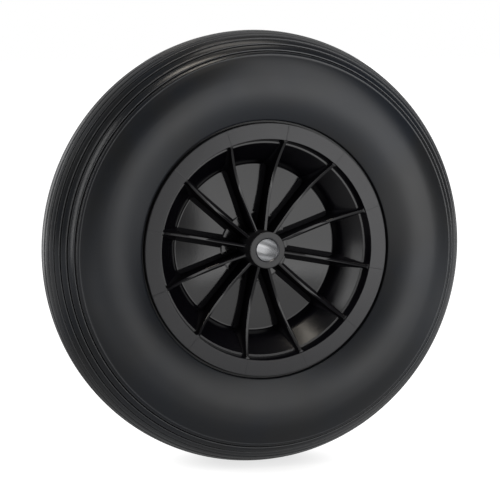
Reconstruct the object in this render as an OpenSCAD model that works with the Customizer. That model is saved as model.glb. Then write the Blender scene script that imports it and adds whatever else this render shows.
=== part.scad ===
// Wheelbarrow wheel: a solid foam tyre on a one-piece ribbed rim with a steel hub sleeve.
// The axle runs along Y through the origin, and the wheel stands in the XZ plane.

/* [Tyre] */
// Outside diameter of the tyre
tyre_od = 400; // [390:1:412]
// Width of the tyre at its widest
tyre_w = 100; // [96:1:106]
// Height above the flange at which the tyre is widest, as a share of the tyre's whole height there
bulge_share = 0.5; // [0.4:0.01:0.6]
// Width of the tyre between its lips beside the flanges
lip_w = 77; // [74:0.5:79]
// Open gap between the flange's edge and the tyre's lip
lip_gap = 2.4; // [1:0.1:4]
// Rounding of the tyre's lip
lip_round = 1.2; // [0.4:0.1:2]

/* [Tread] */
// Grooves round the tyre
groove_count = 12; // [8:2:12]
// Angle between grooves, measured round the tyre's section
groove_angle = 10.2; // [9:0.1:11]
// Width of a groove at its mouth
groove_w = 2; // [1.2:0.1:3]
// Depth of a groove
groove_d = 1.8; // [1:0.1:3]
// Height of the step at the tread's shoulder
shoulder_step = 0.8; // [0.4:0.1:1.5]

/* [Rim] */
// Width of the rim over its flanges
rim_w = 80; // [76:0.5:84]
// Outside diameter of the flanges
flange_od = 232; // [226:1:240]
// Width of a flange's face, from its outer edge to the throat
flange_face_w = 14.5; // [12:0.5:17]
// Thickness of a flange
flange_t = 3.2; // [2.5:0.1:4]
// Rounding of the flange's edges
flange_round = 0.8; // [0.4:0.1:1.2]
// Thickness of the barrel's wall
wall = 3.2; // [2.5:0.1:4]
// Depth of the ledge inside the flange, from its face
ledge_depth = 10.5; // [8:0.5:13]
// Width of the ledge
ledge_w = 1.8; // [1:0.1:3]
// How far the wall leans inwards from the flange's face to the ledge
throat_lean_w = 2.3; // [1:0.1:3]
// Fall of the sloping wall from the ledge to the drop centre
cone_h = 16.1; // [14:0.1:19]
// Width of the drop centre inside the rim
well_w = 22; // [18:1:26]
// Fall of the drop centre from its edges to the web
well_h = 4; // [2:0.5:6]
// Rounding where the drop centre meets the sloping wall
well_round = 4; // [1:0.5:6]

/* [Web and ribs] */
// Thickness of the web
web_t = 3; // [2:0.1:5]
// Diameter of the raised disc round the hub
collar_d = 63; // [50:1:80]
// Height of the raised disc above the web
collar_h = 1.2; // [0.5:0.1:3]
// Ribs on each side
rib_count = 12; // [6:1:16]
// Thickness of a rib
rib_t = 2.8; // [1.6:0.1:4]
// Height of a rib above the wheel's middle plane, at the hub
rib_hub_h = 25.5; // [20:0.5:34]
// Height of a rib above the middle plane at its lowest point
rib_low_h = 19; // [12:0.5:20]
// Diameter at which the ribs are lowest
rib_low_d = 100; // [80:1:120]
// Distance of a rib's outer end below the flange's face
rib_drop = 3; // [2:0.5:6]
// Angle of the first rib from the X axis
rib_phase = 19.5; // [0:0.5:30]

/* [Hub] */
// Outside diameter of the hub
hub_d = 34; // [31:0.5:40]
// Rounding of the hub's rim
hub_round = 0.8; // [0.3:0.1:1.5]
// Outside diameter of the steel sleeve
sleeve_od = 23; // [22:0.5:27]
// Bore for the axle
bore_d = 20; // [16:0.5:20]
// Chamfer at each mouth of the sleeve
mouth_chamfer = 1.2; // [0.4:0.1:1.2]

/* [Hidden] */
$fn = 120;

// Steps along a short rounding, along the sidewall and along a rib's edge
round_steps = 4;
side_steps = 12;
rib_steps = 14;

// Exponents of the rib's edge curve on its hub side and on its rim side
rib_hub_curve = 1.3;
rib_rim_curve = 2.2;

rim_half = rim_w / 2;
flange_r = flange_od / 2;
flange_back = rim_half - flange_t;
throat_r = flange_r - flange_face_w;
ledge_a = rim_half - ledge_depth;
ledge_r = throat_r - throat_lean_w;
cone_end = [ledge_r - ledge_w, ledge_a];
cone_start = [cone_end.x - cone_h, well_w / 2];
web_r = cone_start.x - well_h;
hub_r = hub_d / 2;
sleeve_r = sleeve_od / 2;
bore_r = bore_d / 2;

bulge_r = flange_r + bulge_share * (tyre_od / 2 - flange_r);
crown_h = tyre_od / 2 - bulge_r;
bulge_half = tyre_w / 2;
crown_half = bulge_half + shoulder_step;
lip_r = flange_r + lip_gap;

// Points are [radius, distance from the middle plane] until a section is turned round the axle.
function unit(v) = v / norm(v);
function mirrored(pts) = [for (i = [len(pts) - 1 : -1 : 0]) [pts[i].x, -pts[i].y]];
function both_halves(pts) = concat(pts, mirrored(pts));

// Points of an arc about a centre, from one angle to another
function arc(centre, r, from, to) =
    [for (i = [0 : round_steps])
        let (t = from + (to - from) * i / round_steps)
        centre + r * [cos(t), sin(t)]];

// Points of a quadratic curve that rounds the corner at p, of reach s towards a and b
function soft_corner(a, p, b, s) =
    let (p0 = p + s * unit(a - p), p2 = p + s * unit(b - p))
    [for (i = [0 : round_steps])
        let (t = i / round_steps)
        (1 - t) * (1 - t) * p0 + 2 * t * (1 - t) * p + t * t * p2];

// The sloping wall's outward normal, and the line that the tyre sits on outside the barrel
slope = unit(cone_end - cone_start);
slope_out = [slope.y, -slope.x];
well_out = cone_start + wall * slope_out;
seat_r = ledge_r + wall;
seat_start = well_out + slope * (seat_r - well_out.x) / slope.x;
seat_end = [seat_r + throat_lean_w * (flange_back - ledge_a) / ledge_depth, flange_back];
seat_line = [[well_out.x, 0], well_out, seat_start, seat_end];

// Tyre section: the crown and upper sidewall are one ellipse, the lower sidewall another
function crown(t) = [bulge_r + crown_h * cos(t), crown_half * sin(t)];
function crown_normal(t) = unit([cos(t) / crown_h, sin(t) / crown_half]);
function below_crown(t, d) = crown(t) - d * crown_normal(t);

groove_half = groove_w / 2 / crown_h * 180 / PI;
shoulder_t = groove_count / 2 * groove_angle;
side_t = shoulder_t + shoulder_step / crown_h * 180 / PI;

// One groove with the land inside it, the groove centred at angle t
function land_and_groove(t) = [
    crown(t - groove_angle / 2),
    crown(t - groove_half),
    below_crown(t - groove_half * 0.5, groove_d),
    below_crown(t + groove_half * 0.5, groove_d),
    crown(t + groove_half)];

tread_half = [for (i = [0 : groove_count / 2 - 1], p = land_and_groove((i + 0.5) * groove_angle)) p];
upper_side = [for (i = [0 : side_steps])
    below_crown(side_t + (90 - side_t) * i / side_steps, shoulder_step)];

lip_angle = acos(lip_w / 2 / bulge_half);
lower_h = (bulge_r - lip_r) / sin(lip_angle);
function lower_side(s) = [bulge_r - lower_h * sin(s), bulge_half * cos(s)];
lower_steps = [for (i = [1 : side_steps - 1]) lower_side(lip_angle * i / side_steps)];
lip_point = lower_side(lip_angle);
lip = soft_corner(lower_side(lip_angle * 0.9), lip_point, [lip_r, flange_back], lip_round);

tyre_half = concat(tread_half, [crown(shoulder_t)], upper_side, lower_steps, lip,
    [[lip_r, flange_back]], [for (i = [3 : -1 : 1]) seat_line[i]]);

// Rim section: the barrel with its two flanges
flange_edges = concat(
    arc([throat_r + flange_round, rim_half - flange_round], flange_round, 180, 90),
    arc([flange_r - flange_round, rim_half - flange_round], flange_round, 90, 0));
barrel_inside = concat(
    [[web_r, 0]],
    soft_corner([web_r, 0], cone_start, cone_end, well_round),
    [cone_end, [ledge_r, ledge_a]]);
barrel_half = concat(barrel_inside, flange_edges, [[flange_r, flange_back]],
    [for (i = [3 : -1 : 1]) seat_line[i]]);

// Height of a rib's edge above the middle plane at radius r
rib_low_r = rib_low_d / 2;
rib_end_h = rim_half - rib_drop;
function rib_edge(r) = r < rib_low_r
    ? rib_low_h + (rib_hub_h - rib_low_h) * pow((rib_low_r - r) / (rib_low_r - hub_r), rib_hub_curve)
    : rib_low_h + (rib_end_h - rib_low_h) * pow((r - rib_low_r) / (ledge_r - rib_low_r), rib_rim_curve);

// A rib's outline: its edge, then down the middle of the wall that it grows from
rib_root_r = (hub_r + sleeve_r) / 2;
in_wall = wall / 2;
rib_outline = concat(
    [[rib_root_r, 0], [rib_root_r, rib_hub_h]],
    [for (i = [0 : rib_steps]) let (r = hub_r + (ledge_r - hub_r) * i / rib_steps) [r, rib_edge(r)]],
    [[ledge_r + in_wall, rib_end_h], [ledge_r + in_wall, ledge_a],
     cone_end + in_wall * slope_out, cone_start + in_wall * slope_out, [well_out.x - in_wall, 0]]);

module turned(section) {
    rotate([90, 0, 0]) rotate_extrude() polygon(section);
}

module rib() {
    rotate([90, 0, 0]) linear_extrude(rib_t, center = true) polygon(rib_outline);
}

module ribs_one_side() {
    for (i = [0 : rib_count - 1]) rotate([0, 0, rib_phase + i * 360 / rib_count]) rib();
}

module web() {
    cylinder(r = web_r + in_wall, h = web_t, center = true);
    cylinder(d = collar_d, h = web_t + 2 * collar_h, center = true);
}

module hub() {
    edge = arc([hub_r - hub_round, rim_half - hub_round], hub_round, 0, 90);
    rotate_extrude() polygon(both_halves(concat([[hub_r, 0]], edge, [[sleeve_r, rim_half]])));
}

module tyre() {
    color("#3a3c3e") turned(both_halves(tyre_half));
}

module rim() {
    color("#4b4c4f") rotate([90, 0, 0]) difference() {
        union() {
            rotate_extrude() polygon(both_halves(barrel_half));
            web();
            hub();
            ribs_one_side();
            mirror([0, 0, 1]) ribs_one_side();
        }
        cylinder(r = sleeve_r, h = rim_w + 2, center = true);
    }
}

module hub_sleeve() {
    half = [[sleeve_r, rim_half], [bore_r + mouth_chamfer, rim_half], [bore_r, rim_half - mouth_chamfer]];
    color("#c4c6c9") turned(both_halves(half));
}

tyre();
rim();
hub_sleeve();
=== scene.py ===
"""Dresses a foam-tyred wheelbarrow wheel for its portrait.

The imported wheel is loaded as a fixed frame. The tyre, the ribbed rim and the steel sleeve are
then built again inside that frame with rounded edges, moulded detail and procedural finishes.
The scene is in metres, and the pieces and finishes hold their sizes in millimetres. The axle
runs along Y, and the wheel stands on its tread.
"""

import logging
import math
from collections.abc import Sequence
from dataclasses import dataclass, field
from enum import Enum
from typing import Any

import bmesh
import bpy
from mathutils import Matrix, Vector


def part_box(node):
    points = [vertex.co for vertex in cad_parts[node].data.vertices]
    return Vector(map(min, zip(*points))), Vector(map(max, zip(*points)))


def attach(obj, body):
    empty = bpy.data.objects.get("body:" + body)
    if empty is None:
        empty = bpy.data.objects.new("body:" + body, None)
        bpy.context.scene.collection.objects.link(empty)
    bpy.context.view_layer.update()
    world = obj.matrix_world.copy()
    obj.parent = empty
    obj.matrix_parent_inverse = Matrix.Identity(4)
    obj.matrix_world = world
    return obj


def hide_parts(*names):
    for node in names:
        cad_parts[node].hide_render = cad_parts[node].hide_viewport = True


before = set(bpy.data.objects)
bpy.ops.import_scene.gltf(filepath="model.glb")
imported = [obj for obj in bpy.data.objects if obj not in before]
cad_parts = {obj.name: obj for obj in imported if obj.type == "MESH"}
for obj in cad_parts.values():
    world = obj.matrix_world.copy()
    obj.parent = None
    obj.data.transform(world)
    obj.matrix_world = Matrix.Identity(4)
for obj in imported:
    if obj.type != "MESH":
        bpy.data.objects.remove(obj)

LOG = logging.getLogger("wheel")
MM = 0.001
BODY = "root"
# Radius of the tiny ring that an outline is swept along, by which the outline is drawn in
RING = 1e-6
WHITE = (1.0, 1.0, 1.0, 1.0)

Colour = tuple[float, float, float, float]
Point = tuple[float, float]
# The values between which a tone fades in
Span = tuple[float, float]


class Piece(Enum):
    """A piece of the wheel: its CAD node and a slot name, which is not used."""

    TYRE = ("tyre", "tyre")
    RIM = ("rim", "rim")
    SLEEVE = ("hub_sleeve", "sleeve")

    def far_corner(self) -> Vector:
        """The far corner of the CAD node's box, in metres."""
        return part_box(self.value[0])[1]


def bezier(a: Vector, corner: Vector, b: Vector, steps: int) -> list[Vector]:
    """Rounds a corner with a quadratic curve.

    Args:
        a: where the curve starts.
        corner: the sharp corner that it replaces.
        b: where the curve ends.
        steps: how many pieces the curve has.

    Returns:
        The curve's points, with both ends.
    """
    out = []
    for i in range(steps + 1):
        t = i / steps
        out.append(a * (1 - t) ** 2 + corner * (2 * t * (1 - t)) + b * t ** 2)
    return out


def rounded(points: Sequence[Vector], reach: Sequence[float], steps: int = 4) -> list[Vector]:
    """Rounds the inner corners of an open outline.

    Args:
        points: the outline's corners.
        reach: how far the rounding of each corner reaches along its sides.
        steps: pieces in each rounding.

    Returns:
        The outline with its corners rounded.
    """
    out = [points[0]]
    for i in range(1, len(points) - 1):
        before, here, after = points[i - 1], points[i], points[i + 1]
        size = min(reach[i], (before - here).length * 0.45, (after - here).length * 0.45)
        if size <= 0:
            out.append(here)
            continue
        start = here + (before - here).normalized() * size
        end = here + (after - here).normalized() * size
        out.extend(bezier(start, here, end, steps))
    out.append(points[-1])
    return out


def segment_distance(point: Vector, a: Vector, b: Vector) -> float:
    """Measures how far a point of a plane lies from a straight piece.

    Args:
        point: the point.
        a: one end of the piece.
        b: its other end.

    Returns:
        The distance.
    """
    along = b - a
    share = min(max((point - a).dot(along) / along.length_squared, 0.0), 1.0)
    return (point - a - along * share).length


def held_flat(points: Sequence[Vector], reach: float = 0.25) -> list[Vector]:
    """Adds points near the ends of long straight pieces, so that shading stays flat between them.

    Args:
        points: the outline.
        reach: how far the added points lie from a piece's ends.

    Returns:
        The outline with the added points.
    """
    out = [points[0]]
    for a, b in zip(points, points[1:]):
        if (b - a).length > 6 * reach:
            step = (b - a).normalized() * reach
            out.extend([a + step, b - step])
        out.append(b)
    return out


def whole(half: Sequence[Vector]) -> list[Vector]:
    """Closes half of a section with its mirror image in the wheel's middle plane."""
    return list(half) + [Vector((p.x, -p.y)) for p in half[-2:0:-1]]


class Socket:
    """A value in a material, on which Python's operators add Math nodes."""

    def __init__(self, shade: "Shade", link: Any) -> None:
        """Keeps the material's builder and the output socket."""
        self.shade = shade
        self.link = link

    def _math(self, operation: str, *values: Any) -> "Socket":
        """Adds one Math node.

        Args:
            operation: the node's operation.
            values: its inputs in order, as sockets or numbers.

        Returns:
            The node's value.
        """
        inputs = dict(enumerate(values))
        return self.shade.node("ShaderNodeMath", {"operation": operation}, inputs)["Value"]

    def __add__(self, other: Any) -> "Socket":
        """Adds."""
        return self._math("ADD", self, other)

    __radd__ = __add__

    def __sub__(self, other: Any) -> "Socket":
        """Subtracts."""
        return self._math("SUBTRACT", self, other)

    def __rsub__(self, other: Any) -> "Socket":
        """Subtracts from a number."""
        return self._math("SUBTRACT", other, self)

    def __mul__(self, other: Any) -> "Socket":
        """Multiplies."""
        return self._math("MULTIPLY", self, other)

    __rmul__ = __mul__

    def __truediv__(self, other: Any) -> "Socket":
        """Divides."""
        return self._math("DIVIDE", self, other)

    def absolute(self) -> "Socket":
        """The value without its sign."""
        return self._math("ABSOLUTE", self)

    def fraction(self) -> "Socket":
        """The part after the decimal point."""
        return self._math("FRACT", self)

    def root(self) -> "Socket":
        """The square root."""
        return self._math("SQRT", self)

    def greater(self, other: Any) -> "Socket":
        """The greater of two values."""
        return self._math("MAXIMUM", self, other)

    def limited(self, low: float, high: float) -> "Socket":
        """The value, kept between low and high."""
        return self._math("MINIMUM", self.greater(low), high)

    def angle_from(self, other: "Socket") -> "Socket":
        """The angle in radians whose tangent is self over other."""
        return self._math("ARCTAN2", self, other)

    def step(self, low: float, high: float) -> "Socket":
        """Makes a smooth step from 0 to 1.

        Args:
            low: the value at which it is 0.
            high: the value at which it is 1, which may be the lesser of the two.

        Returns:
            The step.
        """
        settings = {"interpolation_type": "SMOOTHSTEP"}
        if low <= high:
            inputs = {"Value": self, "From Min": low, "From Max": high, "To Min": 0.0, "To Max": 1.0}
        else:
            inputs = {"Value": self, "From Min": high, "From Max": low, "To Min": 1.0, "To Max": 0.0}
        return self.shade.node("ShaderNodeMapRange", settings, inputs)["Result"]


class Node:
    """A shader node whose outputs are read by name."""

    def __init__(self, shade: "Shade", node: Any) -> None:
        """Keeps the node."""
        self.shade = shade
        self.node = node

    def __getitem__(self, name: str | int) -> Socket:
        """The output socket of that name or number."""
        return Socket(self.shade, self.node.outputs[name])


class Shade:
    """Builds the shader nodes of one material or of the world."""

    def __init__(self, owner: bpy.types.Material | bpy.types.World) -> None:
        """Empties the owner's node tree."""
        owner.use_nodes = True
        self.owner = owner
        self.tree = owner.node_tree
        self.tree.nodes.clear()

    def node(self, kind: str, settings: dict[str, Any] | None = None,
             inputs: dict[Any, Any] | None = None) -> Node:
        """Adds a node.

        Args:
            kind: the node's type.
            settings: properties that are set before its sockets.
            inputs: values, or sockets to link, by name or number.

        Returns:
            The new node.
        """
        node = self.tree.nodes.new(kind)
        for key, value in (settings or {}).items():
            setattr(node, key, value)
        for key, value in (inputs or {}).items():
            if isinstance(value, Socket):
                self.tree.links.new(value.link, node.inputs[key])
            else:
                node.inputs[key].default_value = value
        return Node(self, node)

    def place(self) -> Socket:
        """The point's place on the object, in metres."""
        return self.node("ShaderNodeTexCoord")["Object"]

    def axes(self) -> tuple[Socket, Socket, Socket]:
        """The point's X, Y and Z, in millimetres."""
        split = self.node("ShaderNodeSeparateXYZ", inputs={"Vector": self.place()})
        return split["X"] / MM, split["Y"] / MM, split["Z"] / MM

    def noise(self, size: float, detail: float = 2.0, where: Socket | None = None,
              stretch: float = 0.0) -> Socket:
        """Smooth noise from 0 to 1.

        Args:
            size: the width of its blots, in millimetres or in the units of where.
            detail: how many finer layers it has.
            where: the place that it is read at, the object's own by default.
            stretch: how much it is distorted.

        Returns:
            The noise's value.
        """
        scale = 1 / size if where else 1 / (size * MM)
        inputs = {"Vector": where or self.place(), "Scale": scale, "Detail": detail,
                  "Distortion": stretch}
        return self.node("ShaderNodeTexNoise", None, inputs)[0]

    def mix(self, amount: Socket | float, a: Any, b: Any) -> Socket:
        """Mixes two colours, each a tuple or a socket."""
        settings = {"data_type": "RGBA", "blend_type": "MIX"}
        return self.node("ShaderNodeMix", settings, {0: amount, 6: a, 7: b})[2]

    def bump(self, height: Socket, depth: float, strength: float = 1.0) -> Socket:
        """A normal from a height.

        Args:
            height: the height.
            depth: what a height of 1 measures, in millimetres.
            strength: how much of it shows.

        Returns:
            The bumped normal.
        """
        inputs = {"Height": height, "Distance": depth * MM, "Strength": strength}
        return self.node("ShaderNodeBump", None, inputs)["Normal"]

    def surface(self, **inputs: Any) -> bpy.types.Material:
        """Ends the material in a Principled surface.

        Args:
            inputs: the surface's inputs, with spaces in their names written as _.

        Returns:
            The finished material.
        """
        named = {key.replace("_", " "): value for key, value in inputs.items()}
        shader = self.node("ShaderNodeBsdfPrincipled", None, named)
        self.node("ShaderNodeOutputMaterial", None, {"Surface": shader["BSDF"]})
        return self.owner


def linear(value: float) -> float:
    """Makes one sRGB channel between 0 and 255 linear."""
    share = value / 255
    return share / 12.92 if share <= 0.04045 else ((share + 0.055) / 1.055) ** 2.4


def colour(red: float, green: float, blue: float) -> Colour:
    """A linear colour from three sRGB values between 0 and 255."""
    return linear(red), linear(green), linear(blue), 1.0


@dataclass(frozen=True)
class FoamSkin:
    """The tyre's satin foam skin, with cooler and warmer patches from the mould, painted shade in its
    grooves and beside the flange, and painted highlights on the groove edges.
    """

    cool: Colour = colour(21, 26, 34)
    warm: Colour = colour(27, 28, 30)
    # Painted shade: the colour of the groove floors and of the tyre in the gap beside the flange
    deep: Colour = colour(17, 18, 21)
    # Painted highlight: the lighter colour of the edges of the tread's lands
    edge_highlight: Colour = colour(84, 85, 87)
    edge_highlight_share: float = 0.7
    roughness: float = 0.36
    uneven: float = 0.1
    tread_polish: float = 0.12
    specular: float = 0.5
    patch_size: float = 90.0
    cloud_size: float = 25.0
    grain_size: float = 1.2
    grain_depth: float = 0.06
    patch_fade: Span = (0.35, 0.65)
    groove_fade: Span = (0.6, 1.4)
    edge_start: Span = (0.03, 0.1)
    edge_end: Span = (0.6, 0.3)
    tread_half: float = 44.5
    tread_r: float = 177.5
    gap_rim: float = 0.8

    def groove_depth(self, shade: Shade, tyre: "Tyre") -> Socket:
        """Measures how far the point lies under the crown's curve.

        Args:
            shade: the material's builder.
            tyre: the tyre, for its sizes.

        Returns:
            The depth in millimetres.
        """
        x, y, z = shade.axes()
        high, wide = tyre.crown_size()
        up = ((x * x + z * z).root() - tyre.bulge_r) / high
        out = y / wide
        return (1.0 - (up * up + out * out).root()) * high

    def material(self, tyre: "Tyre") -> bpy.types.Material:
        """Builds the finish.

        Args:
            tyre: the tyre, for its sizes.

        Returns:
            The material.
        """
        shade = Shade(bpy.data.materials.new("foam_skin"))
        patches = shade.noise(self.patch_size, 2.0, stretch=0.4).step(*self.patch_fade)
        grain = shade.noise(self.grain_size, 3.0)
        rough = self.roughness + self.uneven * (shade.noise(self.cloud_size, 3.0) - 0.5)
        depth = self.groove_depth(shade, tyre)
        x, y, z = shade.axes()
        radius = (x * x + z * z).root()
        tread = (y.absolute().step(self.tread_half + 0.5, self.tread_half - 0.5)
                 * radius.step(self.tread_r - 0.3, self.tread_r + 0.3))
        gap_r = tyre.lip_r() + self.gap_rim
        # Painted shade: darker in the grooves and in the gap beside the flange
        painted_shade = depth.step(*self.groove_fade) * tread + radius.step(gap_r, gap_r - 0.8)
        # Painted highlight: the edges of the tread's lands are lighter, as if catching light
        edge_highlight_mask = depth.step(*self.edge_start) * depth.step(*self.edge_end) * tread
        skin = shade.mix(patches, self.cool, self.warm)
        highlighted_skin = shade.mix(edge_highlight_mask * self.edge_highlight_share, skin, self.edge_highlight)
        return shade.surface(
            Base_Color=shade.mix(painted_shade, highlighted_skin, self.deep),
            Roughness=rough - self.tread_polish * tread,
            Specular_IOR_Level=self.specular,
            Normal=shade.bump(grain, self.grain_depth, 0.5))


@dataclass(frozen=True)
class MouldedPlastic:
    """The rim's black plastic, with flow streaks and a witness line at each rib."""

    body: Colour = colour(9, 8, 13)
    streak: Colour = colour(15, 14, 18)
    # Painted light: a lighter colour for the flange's face, so that it reads brighter
    face_light: Colour = colour(43, 43, 46)
    face_light_share: float = 0.9
    roughness: float = 0.09
    matt: float = 0.3
    cone_matt: float = 0.14
    web_slope: float = 0.03
    side_roughness: float = 0.6
    side_specular: float = 0.12
    specular: float = 0.5
    relief_depth: float = 0.03
    streak_turns: float = 9.0
    streak_rise: float = 0.006
    blush_size: float = 18.0
    grain_size: float = 0.9
    drag_size: float = 4.0
    witness_fade: Span = (1.6, 0.4)
    streak_fade: Span = (0.4, 0.75)
    blush_fade: Span = (0.3, 0.8)
    streak_share: float = 0.55
    tone_share: float = 0.6
    witness_share: float = 0.9

    def rib_side(self) -> bpy.types.Material:
        """Builds the duller finish on the ribs' sides.

        Returns:
            The material.
        """
        shade = Shade(bpy.data.materials.new("rib_side_plastic"))
        drag = shade.noise(self.drag_size, 3.0)
        return shade.surface(
            Base_Color=shade.mix(0.3 * drag, self.body, self.streak),
            Roughness=self.side_roughness + 0.1 * (drag - 0.5),
            Specular_IOR_Level=self.side_specular,
            Normal=shade.bump(drag, self.relief_depth, 0.4))

    def material(self, rim: "Rim") -> bpy.types.Material:
        """Builds the finish.

        Args:
            rim: the rim, for its sizes.

        Returns:
            The material.
        """
        shade = Shade(bpy.data.materials.new("moulded_plastic"))
        x, y, z = shade.axes()
        radius = (x * x + z * z).root()
        pitches = z.angle_from(x) * (rim.rib_count / (2 * math.pi)) - rim.rib_phase * rim.rib_count / 360
        # A whole number of pitches keeps the sum above zero, and half a pitch centres it on a rib.
        from_rib = (pitches + 100.5).fraction() - 0.5
        face = radius.step(rim.throat_r - 0.5, rim.throat_r + 0.5)
        witness = (from_rib.absolute() * radius).step(*self.witness_fade) * face
        flow = shade.node("ShaderNodeCombineXYZ", None,
                          {"X": pitches * self.streak_turns, "Y": radius * self.streak_rise})["Vector"]
        streaks = shade.noise(1.0, 3.0, where=flow).step(*self.streak_fade)
        blush = shade.noise(self.blush_size, 3.0).step(*self.blush_fade)
        mottle = self.streak_share * streaks + (1 - self.streak_share) * blush
        tone = mottle * self.tone_share + witness * self.witness_share
        grain = shade.noise(self.grain_size, 2.0)
        sunk = radius.limited(rim.collar_foot_r() + 0.5, rim.web_r - 0.8) * self.web_slope
        relief = (grain * 0.5 + witness * 3.0) * self.relief_depth - sunk
        at_hub = radius.step(rim.hub_r + 0.8, rim.hub_r + 0.3)
        side_a, end_a = rim.half_width - 1.0, rim.half_width - 0.4
        dull = (at_hub * y.absolute().step(end_a, side_a)
                + radius.step(rim.flange_r - 0.6, rim.flange_r - 0.2))
        satin = face + at_hub * y.absolute().step(side_a, end_a)
        cone = (radius.step(rim.web_r, rim.web_r + 1.0)
                * radius.step(rim.throat_r + 0.5, rim.throat_r - 0.5))
        plain = shade.mix(tone, self.body, self.streak)
        return shade.surface(
            # Painted light: the flange's face gets a lighter colour, so that it reads brighter
            Base_Color=shade.mix(self.face_light_share * face, plain, self.face_light),
            Roughness=(self.roughness + 0.03 * (blush - 0.5) + (self.matt - self.roughness) * satin
                       + (self.side_roughness - self.roughness) * dull + self.cone_matt * cone),
            Specular_IOR_Level=self.specular,
            Normal=shade.bump(relief, 1.0))


@dataclass(frozen=True)
class DrawnSteel:
    """The sleeve's bright drawn steel, with faint lines along it and duller cut ends."""

    tint: Colour = colour(184, 185, 187)
    dark: Colour = colour(177, 178, 181)
    cut: Colour = colour(92, 92, 95)
    roughness: float = 0.2
    uneven: float = 0.02
    cut_roughness: float = 0.4
    line_size: float = 20.0
    line_across: float = 8.0
    line_along: float = 0.4

    def material(self, sleeve: "Sleeve") -> bpy.types.Material:
        """Builds the finish.

        Args:
            sleeve: the sleeve, for its bore.

        Returns:
            The material.
        """
        shade = Shade(bpy.data.materials.new("drawn_steel"))
        x, y, z = shade.axes()
        drawn = {"X": x * self.line_across, "Y": y * self.line_along, "Z": z * self.line_across}
        lines = shade.node("ShaderNodeCombineXYZ", None, drawn)["Vector"]
        draw = shade.noise(self.line_size, 3.0, where=lines)
        mouth = (x * x + z * z).root().step(sleeve.bore_r + 0.1, sleeve.bore_r + 0.3)
        return shade.surface(
            Base_Color=shade.mix(mouth, shade.mix(draw, self.dark, self.tint), self.cut),
            Metallic=1.0,
            Roughness=(self.roughness + self.uneven * (draw - 0.5)
                       + (self.cut_roughness - self.roughness) * mouth))


class NodeTool:
    """A Geometry Nodes tree with named inputs, run once on an object."""

    def __init__(self, name: str) -> None:
        """Starts a tree with a geometry input and output."""
        self.tree = bpy.data.node_groups.new(name, "GeometryNodeTree")
        face = self.tree.interface
        face.new_socket("Geometry", in_out="INPUT", socket_type="NodeSocketGeometry")
        face.new_socket("Geometry", in_out="OUTPUT", socket_type="NodeSocketGeometry")
        self.start = self.tree.nodes.new("NodeGroupInput")
        self.end = self.tree.nodes.new("NodeGroupOutput")

    def number(self, name: str, value: float) -> Any:
        """Adds a named number to the tree's inputs.

        Args:
            name: the input's name.
            value: its default, whose type is the input's type.

        Returns:
            The output socket that gives it.
        """
        kind = "NodeSocketInt" if isinstance(value, int) else "NodeSocketFloat"
        made = self.tree.interface.new_socket(name, in_out="INPUT", socket_type=kind)
        made.default_value = value
        return self.start.outputs[name]

    def add(self, kind: str, settings: dict[str, Any] | None = None,
            inputs: dict[Any, Any] | None = None) -> Any:
        """Adds a node.

        Args:
            kind: the node's type.
            settings: properties that are set before its sockets.
            inputs: values, or output sockets to link, by name or number.

        Returns:
            The new node.
        """
        node = self.tree.nodes.new(kind)
        for key, value in (settings or {}).items():
            setattr(node, key, value)
        for key, value in (inputs or {}).items():
            if isinstance(value, bpy.types.NodeSocket):
                self.tree.links.new(value, node.inputs[key])
            else:
                node.inputs[key].default_value = value
        return node

    def maths(self, operation: str, *values: Any) -> Any:
        """Adds a Math node on values or sockets and returns its output."""
        return self.add("ShaderNodeMath", {"operation": operation}, dict(enumerate(values))).outputs[0]

    def finish(self, geometry: Any, material: bpy.types.Material,
               sides: bpy.types.Material | None = None) -> None:
        """Ends the tree in Realize Instances and Set Material.

        Args:
            geometry: the last geometry socket.
            material: the material of every face.
            sides: another material for the faces whose "side" attribute is set, if any.
        """
        real = self.add("GeometryNodeRealizeInstances", None, {0: geometry})
        made = self.add("GeometryNodeSetMaterial", None,
                        {"Geometry": real.outputs[0], "Material": material})
        if sides:
            marked = self.add("GeometryNodeInputNamedAttribute",
                              {"data_type": "BOOLEAN"}, {"Name": "side"})
            made = self.add("GeometryNodeSetMaterial", None,
                            {"Geometry": made.outputs[0], "Selection": marked.outputs[0], "Material": sides})
        self.tree.links.new(made.outputs[0], self.end.inputs[0])

    def run(self, obj: bpy.types.Object, values: dict[str, float]) -> bpy.types.Mesh:
        """Runs the tree on an object.

        Args:
            obj: the object whose mesh the tree starts from.
            values: the tree's inputs by name.

        Returns:
            The resulting plain mesh. The modifier is removed again.
        """
        modifier = obj.modifiers.new(self.tree.name, "NODES")
        modifier.node_group = self.tree
        for item in self.tree.interface.items_tree:
            if item.name in values and item.in_out == "INPUT":
                modifier[item.identifier] = values[item.name]
        graph = bpy.context.evaluated_depsgraph_get()
        graph.update()
        mesh = bpy.data.meshes.new_from_object(obj.evaluated_get(graph))
        obj.modifiers.remove(modifier)
        return mesh


def turning_tree(material: bpy.types.Material) -> NodeTool:
    """Makes a tree that turns an outline in XY, X its radius, round the Y axis.

    Args:
        material: the material of the turned body.

    Returns:
        The tree.
    """
    tool = NodeTool("turn_round_axle")
    count = tool.number("Steps", 240)
    outline = tool.add("GeometryNodeMeshToCurve", None, {0: tool.start.outputs["Geometry"]})
    ring = tool.add("GeometryNodeCurvePrimitiveCircle", {"mode": "RADIUS"},
                    {"Resolution": count, "Radius": RING})
    upright = tool.add("GeometryNodeSetCurveNormal", {"mode": "Z_UP"}, {"Curve": ring.outputs[0]})
    swept = tool.add("GeometryNodeCurveToMesh", None,
                     {"Curve": upright.outputs[0], "Profile Curve": outline.outputs[0]})
    laid = tool.add("GeometryNodeTransform", None,
                    {"Geometry": swept.outputs[0], "Rotation": (math.pi / 2, 0.0, 0.0)})
    tool.finish(laid.outputs[0], material)
    return tool


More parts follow.
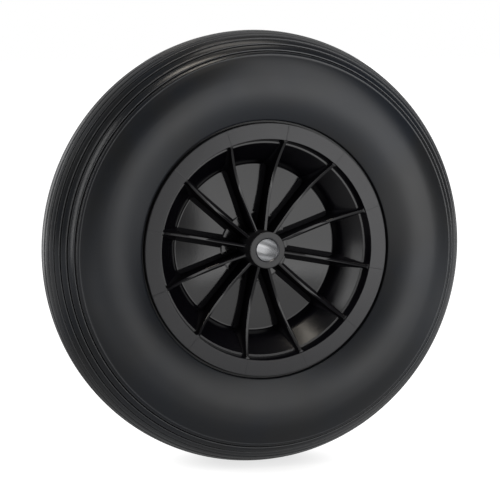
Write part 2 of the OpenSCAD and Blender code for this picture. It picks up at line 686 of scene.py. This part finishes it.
def repeat_tree(material: bpy.types.Material, sides: bpy.types.Material) -> NodeTool:
    """Makes a tree that repeats a piece round the Y axis and mirrors the set to the other side.

    Args:
        material: the pieces' material.
        sides: the material of the faces whose "side" attribute is set.

    Returns:
        The tree.
    """
    tool = NodeTool("repeat_round_axle")
    count = tool.number("Count", 12)
    first = tool.number("First angle", 0.0)
    pitch = tool.number("Pitch", 1.0)
    both = tool.number("Both sides", 1)
    spots = tool.add("GeometryNodePoints", None, {"Count": count})
    index = tool.add("GeometryNodeInputIndex").outputs[0]
    angle = tool.maths("MULTIPLY", tool.maths("MULTIPLY_ADD", index, pitch, first), -1.0)
    turn = tool.add("ShaderNodeCombineXYZ", None, {"Y": angle})
    ring = tool.add("GeometryNodeInstanceOnPoints", None,
                    {"Points": spots.outputs[0], "Instance": tool.start.outputs["Geometry"],
                     "Rotation": turn.outputs[0]})
    solid = tool.add("GeometryNodeRealizeInstances", None, {0: ring.outputs[0]})
    mirrored = tool.add("GeometryNodeTransform", None,
                        {"Geometry": solid.outputs[0], "Scale": (1.0, -1.0, 1.0)})
    flipped = tool.add("GeometryNodeFlipFaces", None, {0: mirrored.outputs[0]})
    chosen = tool.add("GeometryNodeSwitch", {"input_type": "GEOMETRY"},
                      {"Switch": both, "True": flipped.outputs[0]})
    joined = tool.add("GeometryNodeJoinGeometry")
    for part in (solid.outputs[0], chosen.outputs[0]):
        tool.tree.links.new(part, joined.inputs[0])
    tool.finish(joined.outputs[0], material, sides)
    return tool


def turned(name: str, section: Sequence[Vector], steps: int,
           material: bpy.types.Material) -> bpy.types.Mesh:
    """Turns a closed section round the axle.

    Args:
        name: the name of its outline while it is turned.
        section: its points in millimetres, as (radius, distance from the middle plane).
        steps: flats round the circle.
        material: the body's material.

    Returns:
        The turned mesh, in metres.
    """
    mesh = bpy.data.meshes.new(name)
    edges = [(i, (i + 1) % len(section)) for i in range(len(section))]
    mesh.from_pydata([(p.x * MM - RING, p.y * MM, 0.0) for p in section], edges, [])
    outline = bpy.data.objects.new(name, mesh)
    bpy.context.scene.collection.objects.link(outline)
    body = turning_tree(material).run(outline, {"Steps": steps})
    bpy.data.objects.remove(outline)
    return body


def joined_mesh(name: str, meshes: Sequence[bpy.types.Mesh]) -> bpy.types.Mesh:
    """Joins meshes into one that keeps their materials, with outward faces.

    Args:
        name: the new mesh's name.
        meshes: the meshes to join.

    Returns:
        The new mesh.
    """
    materials: list[bpy.types.Material] = []
    work = bmesh.new()
    for mesh in meshes:
        first = len(work.faces)
        work.from_mesh(mesh)
        work.faces.ensure_lookup_table()
        for face in work.faces[first:]:
            material = mesh.materials[face.material_index]
            if material not in materials:
                materials.append(material)
            face.material_index = materials.index(material)
    bmesh.ops.remove_doubles(work, verts=work.verts, dist=1e-6)
    bmesh.ops.recalc_face_normals(work, faces=work.faces)
    out = bpy.data.meshes.new(name)
    work.to_mesh(out)
    work.free()
    for material in materials:
        out.materials.append(material)
    return out


def shade_smooth(mesh: bpy.types.Mesh, angle: float) -> None:
    """Smooths a mesh's shading, with sharp edges where faces meet at more than some degrees."""
    mesh.shade_smooth()
    mesh.set_sharp_from_angle(angle=math.radians(angle))


def place(mesh: bpy.types.Mesh, kind: Piece) -> bpy.types.Object:
    """Puts a finished mesh into the scene in place of its CAD node.

    Args:
        mesh: the finished mesh, with its place in its vertices.
        kind: the piece of the wheel that it is.

    Returns:
        The new object.
    """
    node, slot = kind.value
    piece = bpy.data.objects.new(mesh.name, mesh)
    bpy.context.scene.collection.objects.link(piece)
    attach(piece, BODY)
    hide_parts(node)
    LOG.info("%s: %d faces, stands for %s", piece.name, len(mesh.polygons), node)
    return piece


@dataclass
class Rim:
    """The one-piece rim. Its sections are made of (radius, distance from the middle plane)."""

    half_width: float = Piece.RIM.far_corner().y / MM
    flange_r: float = Piece.RIM.far_corner().x / MM
    flange_t: float = 3.2
    flange_round: float = 0.6
    throat_r: float = 101.5
    throat_round: float = 0.2
    wall: float = 3.2
    ledge_a: float = 29.5
    ledge_r: float = 99.2
    ledge_w: float = 1.8
    ledge_round: float = 0.4
    well_r: float = 81.3
    well_a: float = 11.0
    well_round: float = 4.0
    web_r: float = 77.3
    web_t: float = 3.0
    web_round: float = 1.4
    collar_r: float = 31.5
    collar_rise: float = 0.25
    collar_slope: float = 1.5
    collar_round: float = 0.3
    hub_r: float = 17.0
    hub_round: float = 0.9
    sleeve_r: float = Piece.SLEEVE.far_corner().x / MM
    steps: int = 288
    rib_count: int = 12
    rib_phase: float = 19.5
    rib_tip_t: float = 2.5
    rib_draft: float = 0.026
    rib_tip_round: float = 0.45
    rib_root: float = 1.2
    rib_hub_h: float = 25.5
    rib_low_h: float = 19.0
    rib_low_r: float = 50.0
    rib_end_h: float = 37.0
    foot_fillet: float = 0.6
    hub_fillet: float = 1.0
    well_fillet: float = 4.5
    ledge_fillet: float = 1.5
    tip_faces: int = 4
    finish: MouldedPlastic = field(default_factory=MouldedPlastic)

    def collar_foot_r(self) -> float:
        """The radius at which the raised disc's edge meets the web."""
        return self.collar_r + self.collar_slope

    def seat_line(self) -> list[Vector]:
        """Works out the line outside the barrel that the tyre sits on.

        Returns:
            The line's points, from the middle plane outwards.
        """
        start = Vector((self.well_r, self.well_a))
        end = Vector((self.ledge_r - self.ledge_w, self.ledge_a))
        slope = (end - start).normalized()
        out = Vector((slope.y, -slope.x))
        well = start + out * self.wall
        seat_r = self.ledge_r + self.wall
        seat = well + slope * ((seat_r - well.x) / slope.x)
        back = self.half_width - self.flange_t
        rise = (self.throat_r - self.ledge_r) * (back - self.ledge_a) / (self.half_width - self.ledge_a)
        return [Vector((well.x, 0)), well, seat, Vector((seat_r + rise, back))]

    def inside(self) -> list[Vector]:
        """Outlines the face that shows, and the barrel's outside behind it.

        Returns:
            Half of the rim's section, from the sleeve's seat in the middle plane.
        """
        web = self.web_t / 2
        disc = web + self.collar_rise
        back = self.half_width - self.flange_t
        # Each corner is its radius, its distance from the middle plane and its rounding.
        corners = [
            (self.sleeve_r, self.half_width, 0.25), (self.hub_r, self.half_width, self.hub_round),
            (self.hub_r, disc, self.hub_fillet), (self.collar_r, disc, self.collar_round),
            (self.collar_foot_r(), web, 0.5), (self.web_r + 0.4, web, self.web_round),
            (self.well_r, self.well_a, self.well_round),
            (self.ledge_r - self.ledge_w, self.ledge_a, self.ledge_round),
            (self.ledge_r, self.ledge_a, self.ledge_round),
            (self.throat_r, self.half_width, self.throat_round),
            (self.flange_r, self.half_width, self.flange_round), (self.flange_r, back, 0.3)]
        points = [Vector((self.sleeve_r, 0))] + [Vector(c[:2]) for c in corners] + self.seat_line()[::-1]
        reach = [0.0] + [c[2] for c in corners] + [0.0] * 4
        return held_flat(rounded(points, reach, 5))

    def wall_line(self) -> list[Vector]:
        """Outlines the inside of the barrel that the ribs grow from.

        Returns:
            Its corners, from the web to the flange's face.
        """
        return [Vector((self.web_r, self.web_t / 2)), Vector((self.well_r, self.well_a)),
                Vector((self.ledge_r - self.ledge_w, self.ledge_a)),
                Vector((self.ledge_r, self.ledge_a)), Vector((self.throat_r, self.half_width))]

    def base(self, radius: float) -> float:
        """Finds where a rib leaves the web or the wall.

        Args:
            radius: the distance from the axle.

        Returns:
            The height above the middle plane.
        """
        points = [Vector((0, self.web_t / 2))] + self.wall_line()
        for a, b in zip(points, points[1:]):
            if radius <= b.x:
                return a.y + (b.y - a.y) * (radius - a.x) / max(b.x - a.x, 1e-6)
        return self.half_width

    def flare(self, radius: float, height: float) -> float:
        """Works out how far the fillets at the web, the hub and the wall widen a rib.

        Args:
            radius: the distance from the axle of a point of its side.
            height: the point's height above the middle plane.

        Returns:
            How far the side stands out there.
        """
        line = self.wall_line()
        point = Vector((radius, height))
        to_wall = 0.0
        if height > self.base(radius):
            to_wall = min(segment_distance(point, a, b) for a, b in zip(line, line[1:]))
        share = min(max((height - self.well_a) / (self.ledge_a - self.well_a), 0), 1)
        wall_fillet = self.well_fillet + (self.ledge_fillet - self.well_fillet) * share
        out = 0.0
        for gap, size in ((height - self.web_t / 2, self.foot_fillet),
                          (radius - self.hub_r, self.hub_fillet), (to_wall, wall_fillet)):
            inside = size - max(gap, 0)
            if inside > 0:
                out = max(out, size - math.sqrt(size ** 2 - inside ** 2))
        return out

    def edge(self, radius: float) -> float:
        """Works out the height of a rib's edge.

        Args:
            radius: the distance from the axle.

        Returns:
            The height above the middle plane.
        """
        if radius < self.rib_low_r:
            share = (self.rib_low_r - radius) / (self.rib_low_r - self.hub_r)
            return self.rib_low_h + (self.rib_hub_h - self.rib_low_h) * max(share, 0) ** 1.3
        share = (radius - self.rib_low_r) / (self.ledge_r - self.rib_low_r)
        return self.rib_low_h + (self.rib_end_h - self.rib_low_h) * share ** 2.2

    def rib_stations(self) -> list[float]:
        """Spaces a rib's sections, closer together where its fillets are.

        Returns:
            Their radii.
        """
        # Each span is the radius of its end and the number of sections on the way.
        spans = ((self.hub_r + 2.0, 6), (self.web_r - 9.0, 9), (self.web_r + 0.5, 13),
                 (self.throat_r + 0.6, 20))
        radii = [self.hub_r - self.rib_root]
        for end, steps in spans:
            start = radii[-1]
            radii.extend(start + (end - start) * (i + 1) / steps for i in range(steps))
        return radii

    def rib_mesh(self) -> bpy.types.Mesh:
        """Lofts one front rib at angle 0, with a rounded edge and filleted feet.

        Returns:
            The rib's mesh, in metres, with its "side" attribute set away from the edge.
        """
        work = bmesh.new()
        side = work.faces.layers.bool.new("side")
        rings = []
        for radius in self.rib_stations():
            rings.append([work.verts.new((radius * MM, -height * MM, offset * MM))
                          for offset, height in self.rib_section(radius)])
        for a, b in zip(rings, rings[1:]):
            for j in range(len(a) - 1):
                face = work.faces.new((a[j], a[j + 1], b[j + 1], b[j]))
                face[side] = abs(j + 0.5 - (len(a) - 1) / 2) > self.tip_faces
            work.faces.new((a[-1], a[0], b[0], b[-1]))
        work.faces.new(rings[0][::-1])
        work.faces.new(rings[-1])
        bmesh.ops.recalc_face_normals(work, faces=work.faces)
        mesh = bpy.data.meshes.new("rib")
        work.to_mesh(mesh)
        work.free()
        return mesh

    def rib_section(self, radius: float) -> list[Point]:
        """Outlines a rib's cross-section.

        Args:
            radius: the distance from the axle.

        Returns:
            Its points as (offset, height), from foot to foot.
        """
        top = min(self.edge(radius), self.half_width - 2.2)
        low = min(self.base(radius), top - 1.0)
        steps = 9
        heights = [low - 0.6] + [low + (top - low) * (i / steps) ** 1.7 for i in range(steps + 1)]
        right = [Vector((self.rib_tip_t / 2 + self.rib_draft * (top - h) + self.flare(radius, h), h))
                 for h in heights]
        reach = [0.0] * (len(right) - 1) + [self.rib_tip_round, 0.0]
        half = rounded(right + [Vector((0, top))], reach, 3)
        return [(p.x, p.y) for p in half] + [(-p.x, p.y) for p in half[-2::-1]]

    def build(self) -> bpy.types.Object:
        """Builds the rim and puts it in place.

        Returns:
            The rim's object.
        """
        material = self.finish.material(self)
        body = turned("rim_outline", whole(self.inside()), self.steps, material)
        rib = bpy.data.objects.new("rib", self.rib_mesh())
        bpy.context.scene.collection.objects.link(rib)
        ribs = repeat_tree(material, self.finish.rib_side()).run(rib, {
            "Count": self.rib_count, "First angle": math.radians(self.rib_phase),
            "Pitch": 2 * math.pi / self.rib_count, "Both sides": 1})
        bpy.data.objects.remove(rib)
        mesh = joined_mesh("ribbed_rim", [body, ribs])
        shade_smooth(mesh, 28)
        return place(mesh, Piece.RIM)


@dataclass
class Tyre:
    """The foam tyre, whose section matches the rim's seat."""

    rim: Rim
    outer_r: float = Piece.TYRE.far_corner().z / MM
    half_width: float = Piece.TYRE.far_corner().y / MM
    bulge_r: float = 158.0
    lip_half: float = 38.5
    lip_gap: float = 2.4
    lip_depth: float = 3.0
    lip_round: float = 1.1
    groove_count: int = 12
    groove_pitch: float = 10.2
    groove_w: float = 2.0
    groove_d: float = 1.8
    groove_floor: float = 0.35
    groove_mouth_round: float = 0.75
    groove_floor_round: float = 0.35
    shoulder_step: float = 0.8
    shoulder_turn: float = 1.2
    side_steps: int = 16
    steps: int = 264
    finish: FoamSkin = field(default_factory=FoamSkin)

    def crown_size(self) -> tuple[float, float]:
        """The crown's ellipse: its height above the widest point, and half of its width."""
        return self.outer_r - self.bulge_r, self.half_width + self.shoulder_step

    def lip_r(self) -> float:
        """The radius of the tyre's lip beside the flange."""
        return self.rim.flange_r + self.lip_gap

    def crown(self, t: float, below: float = 0.0) -> Vector:
        """Finds a point of the crown's ellipse, or one below it.

        Args:
            t: the ellipse's angle in degrees, 0 in the middle of the tread.
            below: how far under the ellipse the point lies.

        Returns:
            The point.
        """
        high, wide = self.crown_size()
        c, s = math.cos(math.radians(t)), math.sin(math.radians(t))
        normal = Vector((c / high, s / wide)).normalized()
        return Vector((self.bulge_r + high * c, wide * s)) - normal * below

    def tread(self) -> list[Vector]:
        """Outlines half of the tread.

        Returns:
            Its points, from the middle to the shoulder.
        """
        half = math.degrees(self.groove_w / 2 / self.crown_size()[0])
        floor = half * self.groove_floor
        reach = [0, self.groove_mouth_round, self.groove_floor_round,
                 self.groove_floor_round, self.groove_mouth_round, 0]
        points: list[Vector] = []
        for i in range(self.groove_count // 2):
            t = (i + 0.5) * self.groove_pitch
            start, end = t - self.groove_pitch / 2, t + self.groove_pitch / 2
            corners = [self.crown(start), self.crown(t - half), self.crown(t - floor, self.groove_d),
                       self.crown(t + floor, self.groove_d), self.crown(t + half), self.crown(end)]
            points.extend(rounded(corners, reach)[:-1])
        return points

    def side(self) -> list[Vector]:
        """Outlines half of the sidewall.

        Returns:
            Its points, from the shoulder to the lip and down into the gap beside the flange.
        """
        shoulder = self.groove_count / 2 * self.groove_pitch
        upper_t = shoulder + self.shoulder_turn
        steps = self.side_steps
        upper = [self.crown(upper_t + (90 - upper_t) * i / steps, self.shoulder_step)
                 for i in range(steps + 1)]
        lip_t = math.acos(self.lip_half / self.half_width)
        low = (self.bulge_r - self.lip_r()) / math.sin(lip_t)
        lower = [Vector((self.bulge_r - low * math.sin(lip_t * i / steps),
                         self.half_width * math.cos(lip_t * i / steps))) for i in range(1, steps + 1)]
        top = [self.crown(shoulder - 1.5), self.crown(shoulder), upper[0], upper[1]]
        flange_r, back = self.rim.flange_r, self.rim.half_width - self.rim.flange_t
        deep = back - self.lip_depth
        gap = [lower[-2], lower[-1], Vector((self.lip_r(), deep)), Vector((flange_r + 0.3, deep)),
               Vector((flange_r, back))]
        return (rounded(top, (0, 1.0, 0.5, 0)) + upper[2:] + lower[:-2]
                + rounded(gap, (0, self.lip_round, 0.4, 0.4, 0)))

    def build(self) -> bpy.types.Object:
        """Builds the tyre and puts it in place.

        Returns:
            The tyre's object.
        """
        half = self.tread() + self.side() + self.rim.seat_line()[::-1]
        body = turned("tyre_outline", whole(half), self.steps, self.finish.material(self))
        mesh = joined_mesh("foam_tyre", [body])
        shade_smooth(mesh, 40)
        return place(mesh, Piece.TYRE)


@dataclass
class Sleeve:
    """The steel sleeve in the hub."""

    half_length: float = Piece.SLEEVE.far_corner().y / MM
    outer_r: float = Piece.SLEEVE.far_corner().x / MM
    bore_r: float = 10.0
    chamfer: float = 1.2
    steps: int = 192
    finish: DrawnSteel = field(default_factory=DrawnSteel)

    def build(self) -> bpy.types.Object:
        """Builds the sleeve and puts it in place.

        Returns:
            The sleeve's object.
        """
        corners = [(self.bore_r, 0), (self.bore_r, self.half_length - self.chamfer),
                   (self.bore_r + self.chamfer, self.half_length),
                   (self.outer_r, self.half_length), (self.outer_r, 0)]
        half = rounded([Vector(corner) for corner in corners], (0, 0.25, 0.2, 0.15, 0))
        section = whole(held_flat(half, 0.15))
        body = turned("sleeve_outline", section, self.steps, self.finish.material(self))
        mesh = joined_mesh("steel_sleeve", [body])
        shade_smooth(mesh, 30)
        return place(mesh, Piece.SLEEVE)


@dataclass(frozen=True)
class Lamp:
    """A soft rectangular lamp. Its level is 1 where a mirror would show it plain white."""

    name: str
    spot: tuple[float, float, float]
    width: float
    height: float
    level: float
    tint: tuple[float, float, float] = (1.0, 1.0, 1.0)
    aim: tuple[float, float, float] = (0.0, 0.0, 0.0)
    spread: float = 180.0

    def build(self) -> None:
        """Adds the lamp to the scene."""
        data = bpy.data.lights.new(self.name, "AREA")
        data.shape = "RECTANGLE"
        data.size, data.size_y = self.width, self.height
        data.energy = self.level * math.pi * self.width * self.height
        data.color = self.tint
        data.spread = math.radians(self.spread)
        lamp = bpy.data.objects.new(self.name, data)
        spot = Vector(self.spot)
        turn = (Vector(self.aim) - spot).to_track_quat("-Z", "Y").to_matrix().to_4x4()
        lamp.matrix_world = Matrix.Translation(spot) @ turn
        lamp.visible_camera = False
        bpy.context.scene.collection.objects.link(lamp)


@dataclass
class Studio:
    """The white floor and surroundings, the soft lamps and the camera."""

    floor_z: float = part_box(Piece.TYRE.value[0])[0].z
    floor_size: float = 40.0
    floor_gap: float = 0.0002
    floor_grey: Colour = (0.7, 0.7, 0.7, 1.0)
    floor_glow: float = 1.25
    # Where the painted pool of light in the floor's reflected glow lies
    light_pool_spot: tuple[float, float, float] = (0.25, -0.8, 0.0)
    contact_fade: Span = (0.03, 0.13)
    contact_glow: float = 0.6
    # Painted shadow: how the reflected glow dims near the wheel
    near_shade_fade: Span = (0.3, 0.8)
    near_shade_glow: float = 0.4
    light_pool_fade: Span = (0.6, 1.1)
    far_glow: float = 0.35
    ambient: float = 0.3
    mirrored: float = 0.1
    camera_turn: float = 18.68
    camera_rise: float = 5.48
    camera_away: float = 2.2
    focal_px: float = 2372.0
    frame_px: int = 500
    aim: tuple[float, float, float] = (-0.00339, 0.00012, -0.00337)
    lamps: tuple[Lamp, ...] = (
        Lamp("soft_right", (0.276, -0.46, 0.31), 0.392, 0.86, 1.1, aim=(0.276, 0.0, 0.21), spread=130.0),
        Lamp("soft_left", (-1.25, -0.43, 0.45), 0.22, 1.3, 3.4),
        Lamp("soft_above", (0.25, 0.35, 1.9), 0.9, 0.5, 2.0, (1.0, 0.95, 0.88)),
        Lamp("soft_high", (-0.20, -0.40, 1.30), 0.5, 0.2, 8.5, (1.0, 0.93, 0.82)),
        Lamp("soft_back", (-0.42, 1.2, 0.1), 0.6, 0.6, 0.6),
        Lamp("wall_behind", (0.0, 2.4, 0.6), 6.0, 3.6, 0.25))

    def surroundings(self) -> None:
        """Makes a white world for the camera, and softer ones for reflections and plain light."""
        world = bpy.data.worlds.new("white_studio")
        bpy.context.scene.world = world
        shade = Shade(world)
        rays = shade.node("ShaderNodeLightPath")
        unseen = rays["Is Glossy Ray"] * (self.mirrored - self.ambient) + self.ambient
        level = rays["Is Camera Ray"] * (1.0 - unseen) + unseen
        glow = shade.node("ShaderNodeBackground", None, {"Color": WHITE, "Strength": level})
        shade.node("ShaderNodeOutputWorld", None, {"Surface": glow["Background"]})

    def floor_material(self) -> bpy.types.Material:
        """Builds the floor's finish: a glow with a plain grey patch that takes the wheel's shadow; in
        reflections, the glow holds a painted shadow round the wheel and a painted pool of light.

        Returns:
            The material.
        """
        shade = Shade(bpy.data.materials.new("pale_floor"))
        rays = shade.node("ShaderNodeLightPath")
        spot = shade.place()
        away = shade.node("ShaderNodeVectorMath", {"operation": "LENGTH"}, {0: spot})["Value"]
        aside = shade.node("ShaderNodeVectorMath", {"operation": "DISTANCE"},
                           {0: spot, 1: self.light_pool_spot})["Value"]
        fade = away.step(*self.contact_fade) * (1 - self.contact_glow) + self.contact_glow
        # Painted shadow: the glow seen in reflections is dimmer near the wheel
        near_shade = away.step(*self.near_shade_fade) * (1 - self.near_shade_glow) + self.near_shade_glow
        # Painted pool of light: the glow seen in reflections is brightest round a spot in front of the wheel
        light_pool = 1.0 - aside.step(*self.light_pool_fade) * (1 - self.far_glow)
        share = rays["Is Camera Ray"].greater(rays["Is Glossy Ray"]) * fade
        level = rays["Is Camera Ray"].greater(near_shade * light_pool) * self.floor_glow
        grey = shade.node("ShaderNodeBsdfDiffuse", None, {"Color": self.floor_grey})["BSDF"]
        glow = shade.node("ShaderNodeEmission", None, {"Strength": level})["Emission"]
        mixed = shade.node("ShaderNodeMixShader", None, {0: share, 1: grey, 2: glow})[0]
        shade.node("ShaderNodeOutputMaterial", None, {"Surface": mixed})
        return shade.owner

    def floor(self) -> None:
        """Lays a wide pale floor under the tyre."""
        spot = (0, 0, self.floor_z - self.floor_gap)
        bpy.ops.mesh.primitive_plane_add(size=self.floor_size, location=spot)
        plane = bpy.context.object
        plane.name = "studio_floor"
        plane.data.materials.append(self.floor_material())

    def camera(self) -> None:
        """The camera, turned and raised as in the photograph."""
        turn, rise = math.radians(self.camera_turn), math.radians(self.camera_rise)
        back = Vector((-math.sin(turn) * math.cos(rise), -math.cos(turn) * math.cos(rise), math.sin(rise)))
        data = bpy.data.cameras.new("portrait")
        data.sensor_width = 36.0
        data.lens = self.focal_px * data.sensor_width / self.frame_px
        data.clip_start, data.clip_end = 0.05, 60.0
        camera = bpy.data.objects.new("portrait", data)
        spot = back * self.camera_away
        look = (Vector(self.aim) - spot).to_track_quat("-Z", "Y").to_matrix().to_4x4()
        camera.matrix_world = Matrix.Translation(spot) @ look
        bpy.context.scene.collection.objects.link(camera)
        bpy.context.scene.camera = camera

    def build(self) -> None:
        """Sets up the whole studio."""
        bpy.context.scene.view_settings.view_transform = "Standard"
        self.surroundings()
        self.floor()
        self.camera()
        for lamp in self.lamps:
            lamp.build()


def corners(bounds: Any) -> list[list[float]]:
    """A box's two corners as plain lists of numbers."""
    return [[float(v) for v in corner] for corner in bounds]


def main() -> None:
    """Builds the studio and the wheel, and reports each piece."""
    logging.basicConfig(level=logging.INFO, format="%(name)s: %(message)s")
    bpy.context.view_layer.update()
    Studio().build()
    rim = Rim()
    rim.build()
    Tyre(rim).build()
    Sleeve().build()


if __name__ == "__main__":
    main()
